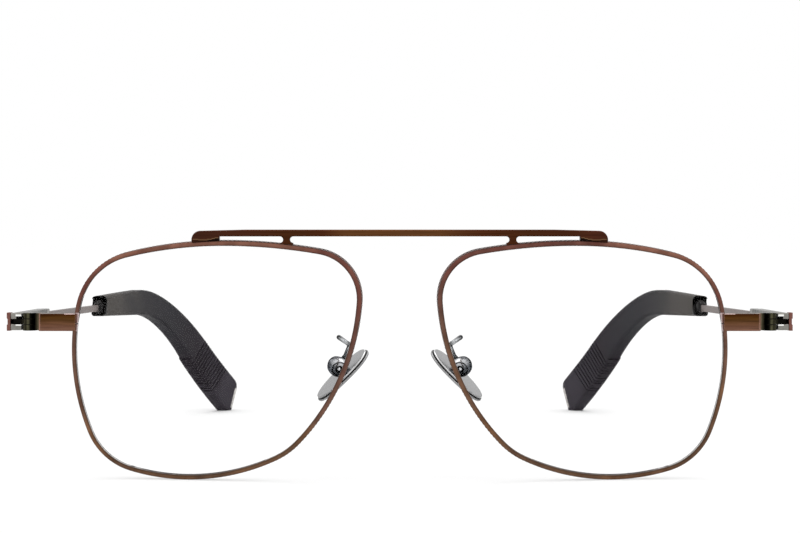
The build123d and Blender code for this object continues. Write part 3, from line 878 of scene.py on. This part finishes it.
# %% Pad arms with painted shade on their flanks
flank_shade_gain = 3
for side in ("left_", "right_"):
    mesh = clean_copy(side + "pad_arm")
    arm = link_mesh(side + "pad_arm_wire", mesh)
    flank_shade = [min(1, (1 - abs(vert.normal.y)) * flank_shade_gain) for vert in mesh.vertices]
    mesh.attributes.new("dark", "FLOAT", "POINT").data.foreach_set("value", flank_shade)
    shade(mesh, sharp=50)
    settle(arm, side + "pad_arm")
print("arm points", len(mesh.vertices))

# %% [markdown]
# ## Ribs of the grip
# Behind the step in each sleeve, fine ribs run across its inner side and underside, square to
# the sleeve. Planes at an even pitch cut the CAD sleeve, which gives the exact line of each
# rib, taper and all. Parts of a line that lie on the core, near the top or on the outer side
# are dropped.

# %% Sections of the sleeve
drop_angle = math.radians(44.6)
drop = Vector((0, math.cos(drop_angle), -math.sin(drop_angle)))
rise = Vector((0, math.sin(drop_angle), math.cos(drop_angle)))
bend_bottom = Vector((0, 41.09, 26.25)) * mm
rib_start, rib_pitch, rib_count = 18.2, 1.0, 12
rib_height = 7.3
core_room = 1.3
outer_room = 0.45


def sleeve_section(sleeve, place):
    """Points and edges of a sleeve where a plane crosses it, some way down from the bend."""
    cut = sleeve.copy()
    everything = list(cut.verts) + list(cut.edges) + list(cut.faces)
    spot = bend_bottom + drop * place * mm
    bmesh.ops.bisect_plane(
        cut, geom=everything, plane_co=spot, plane_no=drop, clear_inner=True, clear_outer=True,
    )
    places = np.array([vert.co for vert in cut.verts])
    middle = Vector(places.mean(0))
    outward = Vector(np.linalg.svd(places - places.mean(0))[2][1])
    outward *= math.copysign(1, outward.x)
    unwanted = [
        vert for vert in cut.verts
        if (vert.co - middle).length < core_room * mm
        or (vert.co - spot).dot(rise) > rib_height * mm
        or (vert.co - middle).dot(outward) > outer_room * mm
    ]
    bmesh.ops.delete(cut, geom=unwanted, context="VERTS")
    cut.verts.index_update()
    points = [vert.co.copy() for vert in cut.verts]
    edges = [[vert.index for vert in edge.verts] for edge in cut.edges]
    cut.free()
    return points, edges


sleeve = bmesh.new()
sleeve.from_mesh(frame["nodes"]["left_temple_sleeve"].data)
bmesh.ops.remove_doubles(sleeve, verts=sleeve.verts, dist=merge_distance * mm)
rib_points, rib_edges = [], []
for k in range(rib_count):
    points, edges = sleeve_section(sleeve, rib_start + rib_pitch * k)
    rib_edges += [[index + len(rib_points) for index in edge] for edge in edges]
    rib_points += points
sleeve.free()
print("rib points", len(rib_points), "edges", len(rib_edges))

# %% [markdown]
# A tree sweeps a thin round bead along what is left, half sunk in the sleeve. The beads are
# darker than the sleeve, as painted shade of fine grooves. The sleeve itself stays as it is, so
# the ribs ride with it and replace nothing.

# %% Tree that sweeps the ribs
def rib_tree():
    """A tree that sweeps a round bead along edges."""
    tree, start, end = new_tree("grip_ribs", {"Bead": "Float"})
    size = start.outputs
    lines = add(tree, "GeometryNodeMeshToCurve", Mesh=size["Geometry"]).outputs[0]
    bead = add(tree, "GeometryNodeCurvePrimitiveCircle", Resolution=8, Radius=size["Bead"])
    ribs = add(
        tree, "GeometryNodeCurveToMesh", Curve=lines, Profile_Curve=bead.outputs[0], Fill_Caps=True,
    )
    real = add(tree, "GeometryNodeRealizeInstances", Geometry=ribs.outputs[0]).outputs[0]
    done = add(tree, "GeometryNodeSetMaterial", Geometry=real, Material=finishes["rib_black"])
    feed(tree, done.outputs[0], end.inputs[0])
    return tree


rib_lines = drawn_mesh("rib_lines", rib_points, rib_edges)
left_ribs = grow("left_grip_ribs", rib_lines, rib_tree(), {"Bead": 0.13 * mm})
settle_pair(left_ribs, "temple_sleeve", replace=False)

# %% [markdown]
# ## Turned and oval pieces
# A nose pad is an oval plate: a satin backing, a narrow neck painted dark as shade, and the
# rounded part that rests on the nose. The screw in its round box is turned. Both are stacks of
# rings, each with its own size, height, painted shade and painted highlight, skinned from ring
# to ring and closed at both ends.

# %% Ring stacks
def ring_stack(
    name, centre, long_way, wide_way, rings, finish, glint, shear=Vector(), power=2.0, count=48,
):
    """Rings of (half length, half width, height, painted shade, painted highlight), skinned in
    order.

    The painted highlight is strongest towards the glint, or even all round where it is over 1. The
    shear moves a ring aside with its height, and a power above 2 fills the ends of an oval.
    """
    normal = long_way.cross(wide_way)
    points, shade_paint, bare = [], [], []
    for half_long, half_wide, height, dark, pale in rings:
        for k in range(count):
            angle = 2 * math.pi * k / count
            along, aside = [
                math.copysign(abs(part) ** (2 / power), part)
                for part in (math.cos(angle), math.sin(angle))
            ]
            flat = long_way * half_long * along + wide_way * half_wide * aside
            points.append(centre + (flat + (normal + shear) * height) * mm)
            shade_paint.append(dark)
            # Painted highlight, strongest on the side that faces the glint.
            bare.append(1 if pale > 1 else pale * max(0, flat.normalized().dot(glint)))
    faces = [tuple(range(count))[::-1], tuple(range(len(points) - count, len(points)))]
    for ring in range(len(rings) - 1):
        for k in range(count):
            low, high = ring * count, (ring + 1) * count
            faces.append((low + k, low + (k + 1) % count, high + (k + 1) % count, high + k))
    mesh = drawn_mesh(name, points, faces=faces)
    for attribute, values in (("dark", shade_paint), ("pale", bare)):
        mesh.attributes.new(attribute, "FLOAT", "POINT").data.foreach_set("value", values)
    mesh.materials.append(finishes[finish])
    turn_outwards(mesh)
    shade(mesh, sharp=50)
    return link_mesh(name, mesh)


print("rings can be stacked")

# %% [markdown]
# The pads lean towards each other at their top and splay a little towards the back. Each step
# below is a ring: how far in from the oval, how high, how much painted shade and how much
# painted highlight. The first rows are the backing, with a painted highlight on its bevel, then
# come the neck, painted black as shade, and the rounded pad.

# %% Nose pads
lean, splay = math.radians(45.5), math.radians(17)
pad_long = Vector((math.sin(lean), 0, -math.cos(lean)))
pad_down = Vector((-math.cos(lean), 0, -math.sin(lean)))
pad_normal = pad_down * math.cos(splay) + Vector((0, 1, 0)) * math.sin(splay)
pad_centre = sum(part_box("left_nose_pad"), Vector()) / 2
pad_steps = [
    (0.70, -0.55, 0.0, 0.0), (0.45, -0.54, 0.0, 0.0), (0.34, -0.48, 0.0, 0.9),
    (0.30, -0.38, 0.0, 1.0), (0.32, -0.26, 0.6, 0.0), (0.62, -0.23, 1.0, 0.0),
    (0.62, -0.12, 1.0, 0.0), (0.16, -0.08, 0.9, 0.0), (0.04, 0.02, 0.0, 0.0),
    (0.00, 0.14, 0.0, 0.0), (0.10, 0.34, 0.0, 0.0), (0.42, 0.48, 0.0, 0.0),
    (1.10, 0.55, 0.0, 0.0), (2.60, 0.56, 0.0, 0.0),
]
half_long, half_wide = 6.5, 3.5
pad_rings = [
    (half_long - inset, half_wide - inset, height, dark, pale)
    for inset, height, dark, pale in pad_steps
]
left_pad = ring_stack(
    "left_pad_oval", pad_centre, pad_long, pad_normal.cross(pad_long), pad_rings, "pad_silver",
    (pad_down - pad_long).normalized(), power=2.3,
)
settle_pair(left_pad, "nose_pad")

# %% [markdown]
# The box that holds the pad is a small cup, seen a little from above and outside. Its front
# has a raised ring with a painted glint at its top, dark rings and a recess painted as shade,
# and the round head of the screw, painted bright as a highlight. Each step is a ring again: its
# radius, height, painted shade and painted highlight.

# %% Front of the pad boxes
box_low, box_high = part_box("left_pad_screw")
cup_axis = Vector((-0.28, -1, -0.3)).normalized()
cup_side = cup_axis.cross(Vector((0, 0, 1))).normalized()
cup_centre = Vector(((box_low.x + box_high.x) / 2, box_low.y, (box_low.z + box_high.z) / 2))
cup_offset = Vector((-0.32, 0, 0.05))
cup_centre += cup_offset * mm
cup_shear = Vector((-0.6, 0, -0.9))
# Direction of the painted glint on the cup.
cup_glint = Vector((-0.35, 0, 0.94))
cup_steps = [
    (1.60, -0.35, 1.0, 0.0), (1.84, -0.12, 0.7, 0.0), (1.84, 0.04, 0.2, 0.2),
    (1.70, 0.28, 0.0, 0.9), (1.50, 0.40, 0.0, 0.9), (1.40, 0.42, 1.0, 0.0),
    (1.22, 0.36, 0.9, 0.0), (1.14, 0.40, 0.0, 0.5), (0.76, 0.46, 0.0, 0.5),
    (0.66, 0.42, 1.0, 0.0), (0.36, 0.32, 1.0, 0.0), (0.30, 0.40, 0.2, 0.2),
    (0.20, 0.44, 0.0, 1.6), (0.06, 0.46, 0.0, 1.6),
]
cup_rings = [(radius, radius, height, dark, pale) for radius, height, dark, pale in cup_steps]
left_cup = ring_stack(
    "left_pad_cup", cup_centre, cup_side, cup_axis.cross(cup_side), cup_rings, "pad_cup",
    cup_glint, cup_shear, count=32,
)
settle_pair(left_cup, "pad_screw")

# %% [markdown]
# A soft plug closes the recess of each collar round the wire, and stands out a little in front.
# It hides where the wire goes in, so from the front the wire ends in a smooth dark nub. It is
# a ring stack too, led along the line of the temple. Each step is a ring's half height, half
# width and place before the mouth of the collar.

# %% Plugs round the wires
collar = frame["nodes"]["left_sleeve_collar"].data
collar_points = np.array([vert.co for vert in collar.vertices])
mouth_depth = 0.01
mouth = collar_points[collar_points[:, 1] < collar_points[:, 1].min() + mouth_depth * mm]
plug_turn = math.radians(9)
plug_forward = Vector((math.sin(plug_turn), -math.cos(plug_turn), 0))
plug_up = Vector((0, 0, 1))
plug_centre = Vector((mouth.min(0) + mouth.max(0)) / 2)
plug_drop = 0.25
plug_centre.z -= plug_drop * mm
plug_steps = [
    (1.55, 1.00, -1.9), (1.55, 1.00, -0.9), (1.50, 0.96, -0.1), (1.34, 0.88, 0.35),
    (1.02, 0.72, 0.6), (0.94, 0.66, 1.1), (0.80, 0.54, 1.3),
]
plug_rings = [(*step, 0.0, 0.0) for step in plug_steps]
left_plug = ring_stack(
    "left_wire_plug", plug_centre, plug_up, plug_forward.cross(plug_up), plug_rings,
    "collar_black", plug_up, power=2.8, count=32,
)
settle_pair(left_plug, "sleeve_collar", replace=False)

# %% [markdown]
# ## Table, backdrop and light
# The picture's ground is pure white, with faint shadows where the frame touches it. A flat
# sheet that reaches far past the frame stands for the table.

# %% Table
reach = 6.0
corners = [(-reach, -reach, 0), (reach, -reach, 0), (reach, reach, 0), (-reach, reach, 0)]
table = link_mesh("table", drawn_mesh("table", corners, faces=[(0, 1, 2, 3)]))
table_material, table_tree, table_shader = new_material("table_white")
table_shade = 0.87
table_shader.inputs["Base Color"].default_value = (table_shade, table_shade, table_shade, 1)
table_shader.inputs["Roughness"].default_value = 0.9
table.data.materials.append(table_material)
print("table", 2 * reach, "m wide")

# %% [markdown]
# Lamps alone leave a table grey. So it mixes its own white light with what falls on it: none
# right at the temple tips, where the shadows are strongest, more a centimetre away from them,
# and all of it far off, where the table has to stay white. This light is seen, directly or in
# a reflection, but it lights nothing.

# %% The table's own light
near_start, near_end, near_most = 3, 13, 0.55
far_start, far_end = 60, 190
far_centre = (0, 60 * mm, 0)


def seen_directly(tree):
    """1 where the camera, a reflection or a look through glass meets the surface."""
    path = add(tree, "ShaderNodeLightPath").outputs
    first = work_out(tree, "MAXIMUM", path["Is Camera Ray"], path["Is Glossy Ray"])
    return work_out(tree, "MAXIMUM", first, path["Is Transmission Ray"])


own_light = add(table_tree, "ShaderNodeEmission", Strength=1.05)
place = add(table_tree, "ShaderNodeTexCoord").outputs["Object"]
folded = add(table_tree, "ShaderNodeVectorMath", {"operation": "ABSOLUTE"}, Vector=place).outputs[0]


def distance_to(centre, place):
    """How far a place on the table is from a centre."""
    measure = add(table_tree, "ShaderNodeVectorMath", {"operation": "DISTANCE"}, Vector=place)
    measure.inputs[1].default_value = centre
    return measure.outputs["Value"]


tip_low, tip_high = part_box("left_tip_plate")
near = distance_to(((tip_low.x + tip_high.x) / 2, tip_low.y, 0), folded)
near_share = stretch(table_tree, near, near_start * mm, near_end * mm, 0, near_most)
far = distance_to(far_centre, place)
far_share = stretch(table_tree, far, far_start * mm, far_end * mm, 0, 1)
own_share = work_out(table_tree, "MAXIMUM", near_share, far_share)
share = work_out(table_tree, "MULTIPLY", seen_directly(table_tree), own_share)
table_mix = add(table_tree, "ShaderNodeMixShader", Fac=share)
feed(table_tree, table_shader.outputs[0], table_mix.inputs[1])
feed(table_tree, own_light.outputs[0], table_mix.inputs[2])
feed(table_tree, table_mix.outputs[0], table_tree.nodes["Material Output"].inputs["Surface"])
print("shadows are whole within", near_start, "mm of a tip")

# %% [markdown]
# The world is white to the camera, to reflections and through the lens. To all else it is a
# little less bright, and lights the frame evenly from all round.

# %% World
world = bpy.data.worlds.new("studio")
bpy.context.scene.world = world
world.use_nodes = True
sky = world.node_tree.nodes["Background"]
sky.inputs["Color"].default_value = (1, 1, 1, 1)
lighting, seen_white = 0.9, 1.0
seen = seen_directly(world.node_tree)
brightness = stretch(world.node_tree, seen, 0, 1, lighting, seen_white)
feed(world.node_tree, brightness, sky.inputs["Strength"])
print("world lights with", lighting)

# %% [markdown]
# Three large soft lamps, one on each side and one above, add a little direction.

# %% Lamps
frame_middle = Vector((0, 0, 0.02))


def soft_lamp(name, spot, size, power):
    """A square area lamp, in metres and watts, that looks at the middle of the frame."""
    data = bpy.data.lights.new(name, "AREA")
    data.size = size
    data.energy = power
    lamp = bpy.data.objects.new(name, data)
    lamp.location = spot
    lamp.rotation_euler = (frame_middle - Vector(spot)).to_track_quat("-Z", "Y").to_euler()
    bpy.context.scene.collection.objects.link(lamp)


soft_lamp("lamp_left", (-0.7, -0.5, 0.6), size=0.6, power=1.5)
soft_lamp("lamp_right", (0.7, -0.5, 0.6), size=0.6, power=1.5)
soft_lamp("lamp_top", (0.0, 0.1, 1.0), size=0.8, power=3.0)
bpy.context.scene.view_settings.view_transform = "Standard"
